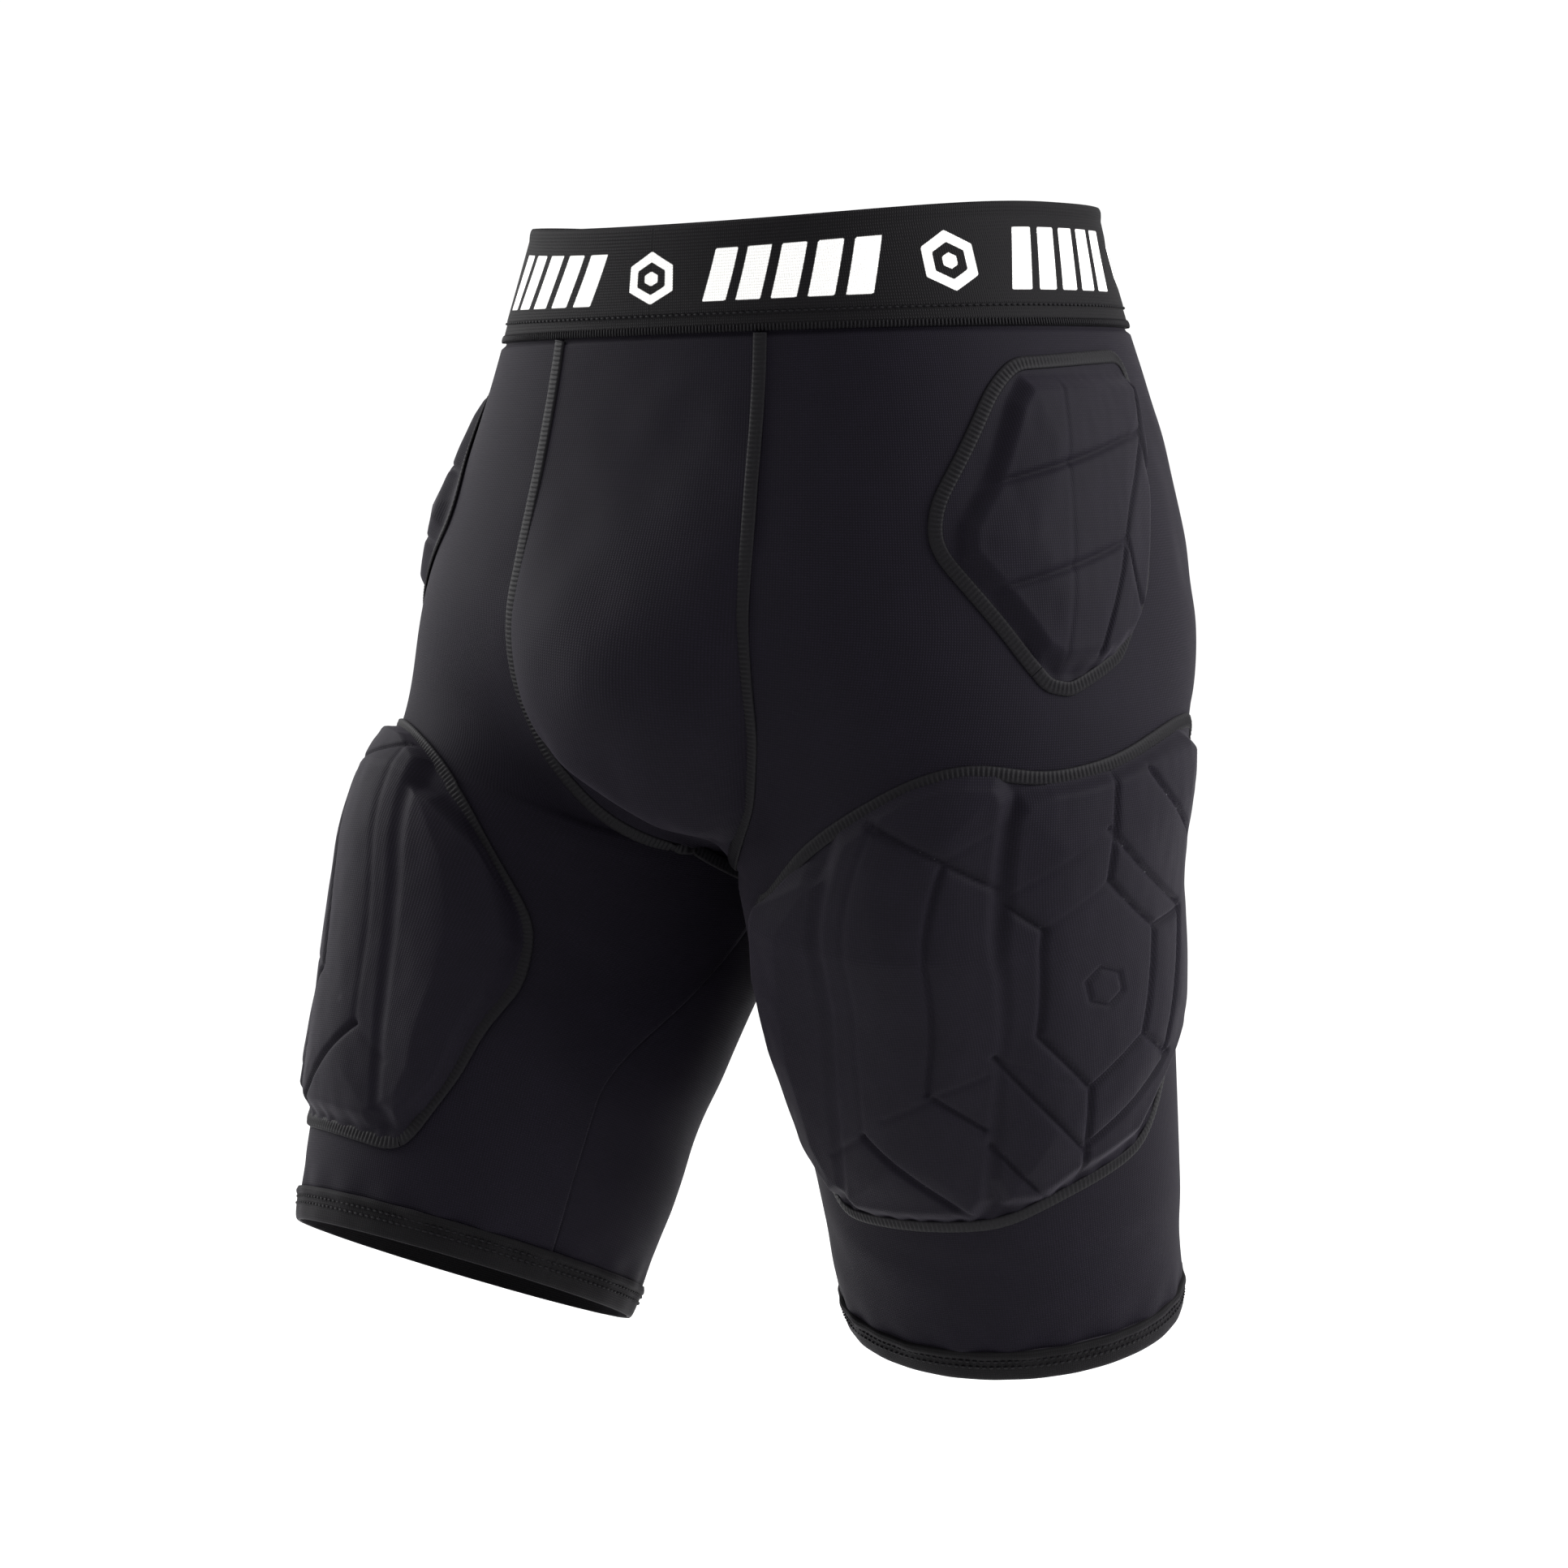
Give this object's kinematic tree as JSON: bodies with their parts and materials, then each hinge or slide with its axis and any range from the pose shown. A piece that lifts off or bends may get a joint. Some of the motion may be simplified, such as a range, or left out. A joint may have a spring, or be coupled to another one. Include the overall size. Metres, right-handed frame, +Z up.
{
  "type": "padded impact shorts",
  "caption": "Close-fitting padded impact shorts with an elastic waistband, hip, tailbone and thigh pads in sewn pockets, and legs that swing at the hips.",
  "frame": {"origin": "centre of the waist opening, level with the mean of the waistband's top edge", "axes": "+Z up, -Y towards the wearer's front, +X towards the wearer's left"},
  "size_m": [0.3975, 0.3583, 0.5297],
  "materials": {
    "base_cloth": "matte four-way stretch knit",
    "waist_elastic": "woven jacquard elastic, white geometric motif",
    "pocket_cloth": "matte stretch knit bonded over foam",
    "pad_foam": "moulded closed-cell foam",
    "hem_cloth": "folded stretch knit"
  },
  "bodies": {
    "pelvis": {"waistband": "waist_elastic", "pouch_panel": "base_cloth", "left_side_panel": "base_cloth", "right_side_panel": "base_cloth", "seat_panel": "base_cloth", "crotch_gusset": "base_cloth", "left_hip_foam": "pad_foam", "right_hip_foam": "pad_foam", "left_hip_cover": "pocket_cloth", "right_hip_cover": "pocket_cloth", "tailbone_foam": "pad_foam", "tailbone_cover": "pocket_cloth", "left_flex_panel": "base_cloth", "right_flex_panel": "base_cloth"},
    "left_leg": {"left_leg_panel": "base_cloth", "left_hem": "hem_cloth", "left_thigh_cover": "pocket_cloth", "left_inner_foam": "pad_foam", "left_front_foam": "pad_foam", "left_outer_foam": "pad_foam"},
    "right_leg": {"right_leg_panel": "base_cloth", "right_hem": "hem_cloth", "right_thigh_cover": "pocket_cloth", "right_inner_foam": "pad_foam", "right_front_foam": "pad_foam", "right_outer_foam": "pad_foam"}
  },
  "joints": [
    {"name": "left_hip_swing", "type": "hinge", "parent": "pelvis", "child": "left_leg", "pos_m": [0.095, 0, -0.205], "axis": [-1, 0, 0], "range_deg": [-12, 20], "stiffness_Nm_per_rad": 3, "deforming": ["left_flex_panel"]},
    {"name": "right_hip_swing", "type": "hinge", "parent": "pelvis", "child": "right_leg", "pos_m": [-0.095, 0, -0.205], "axis": [-1, 0, 0], "range_deg": [-20, 12], "stiffness_Nm_per_rad": 3, "deforming": ["right_flex_panel"]}
  ]
}
